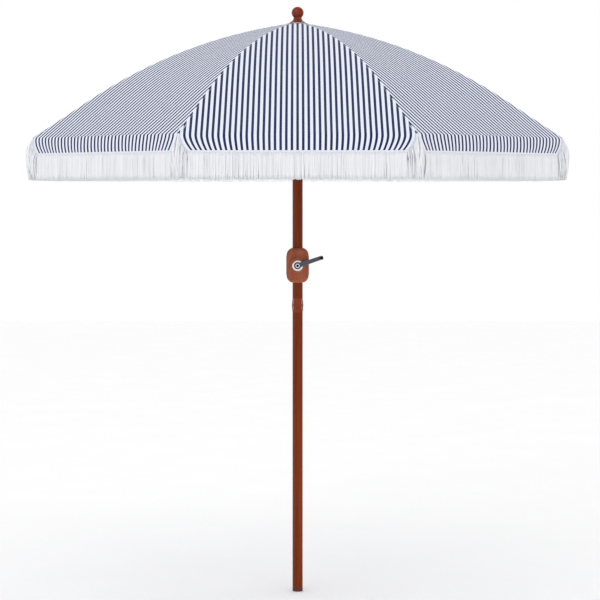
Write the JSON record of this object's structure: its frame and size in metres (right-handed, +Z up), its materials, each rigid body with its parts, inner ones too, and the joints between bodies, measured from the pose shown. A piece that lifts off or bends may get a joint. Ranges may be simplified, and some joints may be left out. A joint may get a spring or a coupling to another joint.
{
  "type": "patio umbrella",
  "caption": "Round eight-sided garden umbrella with striped canopy, fringed valance, crank housing and push-button tilt on a two-part pole.",
  "frame": {"origin": "middle of the pole's foot, at the underside of its foot cap", "axes": "+Z up the pole, +Y to the back, with the crank on the front (-Y); +X to the right of someone facing the crank"},
  "size_m": [1.857, 1.857, 2.172],
  "materials": {
    "pole": "satin",
    "foot_plastic": "satin",
    "dark_plastic": "satin",
    "brown_plastic": "gloss",
    "finial_plastic": "gloss",
    "steel": "satin",
    "chrome": "polished",
    "grey_metal": "satin",
    "frame": "satin",
    "canopy": "matte",
    "cord": "matte"
  },
  "bodies": {
    "lower_pole": {"lower_pole": "pole", "foot_cap": "foot_plastic", "tilt_fork": "dark_plastic", "tilt_pin": "steel"},
    "mast": {"tilt_head": "dark_plastic", "button_spring": "steel", "upper_pole": "pole", "crank_housing_front": "brown_plastic", "crank_housing_back": "brown_plastic", "housing_screws": "steel", "crank_ring": "chrome", "spindle_bushes": "dark_plastic", "brake_spring": "steel", "top_hub": "dark_plastic", "hub_and_pulley_pins": "steel", "finial": "finial_plastic", "crown_cap": "canopy", "lift_cord_inner": "cord"},
    "tilt_button": {"tilt_button": "dark_plastic"},
    "crank": {"crank_spindle": "steel", "cord_spool": "dark_plastic", "crank_arm": "grey_metal", "crank_fasteners": "steel"},
    "crank_knob": {"crank_knob": "dark_plastic"},
    "pulley": {"pulley": "dark_plastic"},
    "runner": {"runner": "dark_plastic", "runner_pins": "steel", "lift_cord_outer": "cord"},
    "rib_1": {"rib_1": "frame"},
    "stretcher_1": {"stretcher_1": "frame"},
    "canopy_panel_1": {"canopy_panel_1": "canopy"},
    "valance_1": {"valance_1": "canopy"},
    "rib_2": {"rib_2": "frame"},
    "stretcher_2": {"stretcher_2": "frame"},
    "canopy_panel_2": {"canopy_panel_2": "canopy"},
    "valance_2": {"valance_2": "canopy"},
    "rib_3": {"rib_3": "frame"},
    "stretcher_3": {"stretcher_3": "frame"},
    "canopy_panel_3": {"canopy_panel_3": "canopy"},
    "valance_3": {"valance_3": "canopy"},
    "rib_4": {"rib_4": "frame"},
    "stretcher_4": {"stretcher_4": "frame"},
    "canopy_panel_4": {"canopy_panel_4": "canopy"},
    "valance_4": {"valance_4": "canopy"},
    "rib_5": {"rib_5": "frame"},
    "stretcher_5": {"stretcher_5": "frame"},
    "canopy_panel_5": {"canopy_panel_5": "canopy"},
    "valance_5": {"valance_5": "canopy"},
    "rib_6": {"rib_6": "frame"},
    "stretcher_6": {"stretcher_6": "frame"},
    "canopy_panel_6": {"canopy_panel_6": "canopy"},
    "valance_6": {"valance_6": "canopy"},
    "rib_7": {"rib_7": "frame"},
    "stretcher_7": {"stretcher_7": "frame"},
    "canopy_panel_7": {"canopy_panel_7": "canopy"},
    "valance_7": {"valance_7": "canopy"},
    "rib_8": {"rib_8": "frame"},
    "stretcher_8": {"stretcher_8": "frame"},
    "canopy_panel_8": {"canopy_panel_8": "canopy"},
    "valance_8": {"valance_8": "canopy"}
  },
  "joints": [
    {"name": "tilt", "type": "hinge", "parent": "lower_pole", "child": "mast", "pos_m": [0, 0, 1.062], "axis": [1, 0, 0], "range_deg": [0, 30]},
    {"name": "tilt_button_press", "type": "slide", "parent": "mast", "child": "tilt_button", "axis": [0, -1, 0], "range_m": [0, 0.004], "stiffness_N_per_m": 300, "springref_m": -0.004, "deforming": ["button_spring"]},
    {"name": "runner_slide", "type": "slide", "parent": "mast", "child": "runner", "axis": [0, 0, 1], "range_m": [-0.50515, 0], "deforming": ["lift_cord_outer"]},
    {"name": "crank_turn", "type": "hinge", "parent": "mast", "child": "crank", "pos_m": [0, 0, 1.211], "axis": [0, -1, 0], "range_deg": [0, 2880]},
    {"name": "knob_spin", "type": "hinge", "parent": "crank", "child": "crank_knob", "pos_m": [0.08809, -0.075, 1.24082], "axis": [0, -1, 0], "continuous": true},
    {"name": "pulley_turn", "type": "hinge", "parent": "mast", "child": "pulley", "pos_m": [0, 0.0115, 2.054], "axis": [-1, 0, 0], "range_deg": [0, 2412]},
    {"name": "rib_fold_1", "type": "hinge", "parent": "mast", "child": "rib_1", "pos_m": [0.01148, -0.02772, 2.1], "axis": [0.9239, 0.3827, 0], "range_deg": [0, 60]},
    {"name": "stretcher_fold_1", "type": "hinge", "parent": "runner", "child": "stretcher_1", "pos_m": [0.01148, -0.02772, 1.84996], "axis": [-0.9239, -0.3827, 0], "range_deg": [0, 52.8]},
    {"name": "panel_fold_1", "type": "hinge", "parent": "mast", "child": "canopy_panel_1", "pos_m": [0, -0.03349, 2.10685], "axis": [1, 0, 0], "range_deg": [0, 57], "deforming": ["canopy_panel_1"]},
    {"name": "valance_fold_1", "type": "hinge", "parent": "canopy_panel_1", "child": "valance_1", "pos_m": [0, -0.927, 1.67439], "axis": [-1, 0, 0], "range_deg": [0, 57], "deforming": ["valance_1"]},
    {"name": "rib_fold_2", "type": "hinge", "parent": "mast", "child": "rib_2", "pos_m": [0.02772, -0.01148, 2.1], "axis": [0.3827, 0.9239, 0], "range_deg": [0, 60]},
    {"name": "stretcher_fold_2", "type": "hinge", "parent": "runner", "child": "stretcher_2", "pos_m": [0.02772, -0.01148, 1.84996], "axis": [-0.3827, -0.9239, 0], "range_deg": [0, 52.8]},
    {"name": "panel_fold_2", "type": "hinge", "parent": "mast", "child": "canopy_panel_2", "pos_m": [0.02368, -0.02368, 2.10685], "axis": [0.7071, 0.7071, 0], "range_deg": [0, 57], "deforming": ["canopy_panel_2"]},
    {"name": "valance_fold_2", "type": "hinge", "parent": "canopy_panel_2", "child": "valance_2", "pos_m": [0.65549, -0.65549, 1.67439], "axis": [-0.7071, -0.7071, 0], "range_deg": [0, 57], "deforming": ["valance_2"]},
    {"name": "rib_fold_3", "type": "hinge", "parent": "mast", "child": "rib_3", "pos_m": [0.02772, 0.01148, 2.1], "axis": [-0.3827, 0.9239, 0], "range_deg": [0, 60]},
    {"name": "stretcher_fold_3", "type": "hinge", "parent": "runner", "child": "stretcher_3", "pos_m": [0.02772, 0.01148, 1.84996], "axis": [0.3827, -0.9239, 0], "range_deg": [0, 52.8]},
    {"name": "panel_fold_3", "type": "hinge", "parent": "mast", "child": "canopy_panel_3", "pos_m": [0.03349, 0, 2.10685], "axis": [0, 1, 0], "range_deg": [0, 57], "deforming": ["canopy_panel_3"]},
    {"name": "valance_fold_3", "type": "hinge", "parent": "canopy_panel_3", "child": "valance_3", "pos_m": [0.927, 0, 1.67439], "axis": [0, -1, 0], "range_deg": [0, 57], "deforming": ["valance_3"]},
    {"name": "rib_fold_4", "type": "hinge", "parent": "mast", "child": "rib_4", "pos_m": [0.01148, 0.02772, 2.1], "axis": [-0.9239, 0.3827, 0], "range_deg": [0, 60]},
    {"name": "stretcher_fold_4", "type": "hinge", "parent": "runner", "child": "stretcher_4", "pos_m": [0.01148, 0.02772, 1.84996], "axis": [0.9239, -0.3827, 0], "range_deg": [0, 52.8]},
    {"name": "panel_fold_4", "type": "hinge", "parent": "mast", "child": "canopy_panel_4", "pos_m": [0.02368, 0.02368, 2.10685], "axis": [-0.7071, 0.7071, 0], "range_deg": [0, 57], "deforming": ["canopy_panel_4"]},
    {"name": "valance_fold_4", "type": "hinge", "parent": "canopy_panel_4", "child": "valance_4", "pos_m": [0.65549, 0.65549, 1.67439], "axis": [0.7071, -0.7071, 0], "range_deg": [0, 57], "deforming": ["valance_4"]},
    {"name": "rib_fold_5", "type": "hinge", "parent": "mast", "child": "rib_5", "pos_m": [-0.01148, 0.02772, 2.1], "axis": [-0.9239, -0.3827, 0], "range_deg": [0, 60]},
    {"name": "stretcher_fold_5", "type": "hinge", "parent": "runner", "child": "stretcher_5", "pos_m": [-0.01148, 0.02772, 1.84996], "axis": [0.9239, 0.3827, 0], "range_deg": [0, 52.8]},
    {"name": "panel_fold_5", "type": "hinge", "parent": "mast", "child": "canopy_panel_5", "pos_m": [0, 0.03349, 2.10685], "axis": [-1, 0, 0], "range_deg": [0, 57], "deforming": ["canopy_panel_5"]},
    {"name": "valance_fold_5", "type": "hinge", "parent": "canopy_panel_5", "child": "valance_5", "pos_m": [0, 0.927, 1.67439], "axis": [1, 0, 0], "range_deg": [0, 57], "deforming": ["valance_5"]},
    {"name": "rib_fold_6", "type": "hinge", "parent": "mast", "child": "rib_6", "pos_m": [-0.02772, 0.01148, 2.1], "axis": [-0.3827, -0.9239, 0], "range_deg": [0, 60]},
    {"name": "stretcher_fold_6", "type": "hinge", "parent": "runner", "child": "stretcher_6", "pos_m": [-0.02772, 0.01148, 1.84996], "axis": [0.3827, 0.9239, 0], "range_deg": [0, 52.8]},
    {"name": "panel_fold_6", "type": "hinge", "parent": "mast", "child": "canopy_panel_6", "pos_m": [-0.02368, 0.02368, 2.10685], "axis": [-0.7071, -0.7071, 0], "range_deg": [0, 57], "deforming": ["canopy_panel_6"]},
    {"name": "valance_fold_6", "type": "hinge", "parent": "canopy_panel_6", "child": "valance_6", "pos_m": [-0.65549, 0.65549, 1.67439], "axis": [0.7071, 0.7071, 0], "range_deg": [0, 57], "deforming": ["valance_6"]},
    {"name": "rib_fold_7", "type": "hinge", "parent": "mast", "child": "rib_7", "pos_m": [-0.02772, -0.01148, 2.1], "axis": [0.3827, -0.9239, 0], "range_deg": [0, 60]},
    {"name": "stretcher_fold_7", "type": "hinge", "parent": "runner", "child": "stretcher_7", "pos_m": [-0.02772, -0.01148, 1.84996], "axis": [-0.3827, 0.9239, 0], "range_deg": [0, 52.8]},
    {"name": "panel_fold_7", "type": "hinge", "parent": "mast", "child": "canopy_panel_7", "pos_m": [-0.03349, 0, 2.10685], "axis": [0, -1, 0], "range_deg": [0, 57], "deforming": ["canopy_panel_7"]},
    {"name": "valance_fold_7", "type": "hinge", "parent": "canopy_panel_7", "child": "valance_7", "pos_m": [-0.927, 0, 1.67439], "axis": [0, 1, 0], "range_deg": [0, 57], "deforming": ["valance_7"]},
    {"name": "rib_fold_8", "type": "hinge", "parent": "mast", "child": "rib_8", "pos_m": [-0.01148, -0.02772, 2.1], "axis": [0.9239, -0.3827, 0], "range_deg": [0, 60]},
    {"name": "stretcher_fold_8", "type": "hinge", "parent": "runner", "child": "stretcher_8", "pos_m": [-0.01148, -0.02772, 1.84996], "axis": [-0.9239, 0.3827, 0], "range_deg": [0, 52.8]},
    {"name": "panel_fold_8", "type": "hinge", "parent": "mast", "child": "canopy_panel_8", "pos_m": [-0.02368, -0.02368, 2.10685], "axis": [0.7071, -0.7071, 0], "range_deg": [0, 57], "deforming": ["canopy_panel_8"]},
    {"name": "valance_fold_8", "type": "hinge", "parent": "canopy_panel_8", "child": "valance_8", "pos_m": [-0.65549, -0.65549, 1.67439], "axis": [-0.7071, 0.7071, 0], "range_deg": [0, 57], "deforming": ["valance_8"]}
  ],
  "couplings": [
    {"joint": "crank_turn", "follows": "runner_slide", "rad_per_m": -99.506},
    {"joint": "pulley_turn", "follows": "runner_slide", "rad_per_m": -83.333},
    {"joint": "rib_fold_1", "follows": "runner_slide", "rad_per_m": -2.073},
    {"joint": "stretcher_fold_1", "follows": "runner_slide", "rad_per_m": -1.8243},
    {"joint": "panel_fold_1", "follows": "runner_slide", "rad_per_m": -1.9694},
    {"joint": "valance_fold_1", "follows": "runner_slide", "rad_per_m": -1.9694},
    {"joint": "rib_fold_2", "follows": "runner_slide", "rad_per_m": -2.073},
    {"joint": "stretcher_fold_2", "follows": "runner_slide", "rad_per_m": -1.8243},
    {"joint": "panel_fold_2", "follows": "runner_slide", "rad_per_m": -1.9694},
    {"joint": "valance_fold_2", "follows": "runner_slide", "rad_per_m": -1.9694},
    {"joint": "rib_fold_3", "follows": "runner_slide", "rad_per_m": -2.073},
    {"joint": "stretcher_fold_3", "follows": "runner_slide", "rad_per_m": -1.8243},
    {"joint": "panel_fold_3", "follows": "runner_slide", "rad_per_m": -1.9694},
    {"joint": "valance_fold_3", "follows": "runner_slide", "rad_per_m": -1.9694},
    {"joint": "rib_fold_4", "follows": "runner_slide", "rad_per_m": -2.073},
    {"joint": "stretcher_fold_4", "follows": "runner_slide", "rad_per_m": -1.8243},
    {"joint": "panel_fold_4", "follows": "runner_slide", "rad_per_m": -1.9694},
    {"joint": "valance_fold_4", "follows": "runner_slide", "rad_per_m": -1.9694},
    {"joint": "rib_fold_5", "follows": "runner_slide", "rad_per_m": -2.073},
    {"joint": "stretcher_fold_5", "follows": "runner_slide", "rad_per_m": -1.8243},
    {"joint": "panel_fold_5", "follows": "runner_slide", "rad_per_m": -1.9694},
    {"joint": "valance_fold_5", "follows": "runner_slide", "rad_per_m": -1.9694},
    {"joint": "rib_fold_6", "follows": "runner_slide", "rad_per_m": -2.073},
    {"joint": "stretcher_fold_6", "follows": "runner_slide", "rad_per_m": -1.8243},
    {"joint": "panel_fold_6", "follows": "runner_slide", "rad_per_m": -1.9694},
    {"joint": "valance_fold_6", "follows": "runner_slide", "rad_per_m": -1.9694},
    {"joint": "rib_fold_7", "follows": "runner_slide", "rad_per_m": -2.073},
    {"joint": "stretcher_fold_7", "follows": "runner_slide", "rad_per_m": -1.8243},
    {"joint": "panel_fold_7", "follows": "runner_slide", "rad_per_m": -1.9694},
    {"joint": "valance_fold_7", "follows": "runner_slide", "rad_per_m": -1.9694},
    {"joint": "rib_fold_8", "follows": "runner_slide", "rad_per_m": -2.073},
    {"joint": "stretcher_fold_8", "follows": "runner_slide", "rad_per_m": -1.8243},
    {"joint": "panel_fold_8", "follows": "runner_slide", "rad_per_m": -1.9694},
    {"joint": "valance_fold_8", "follows": "runner_slide", "rad_per_m": -1.9694}
  ]
}
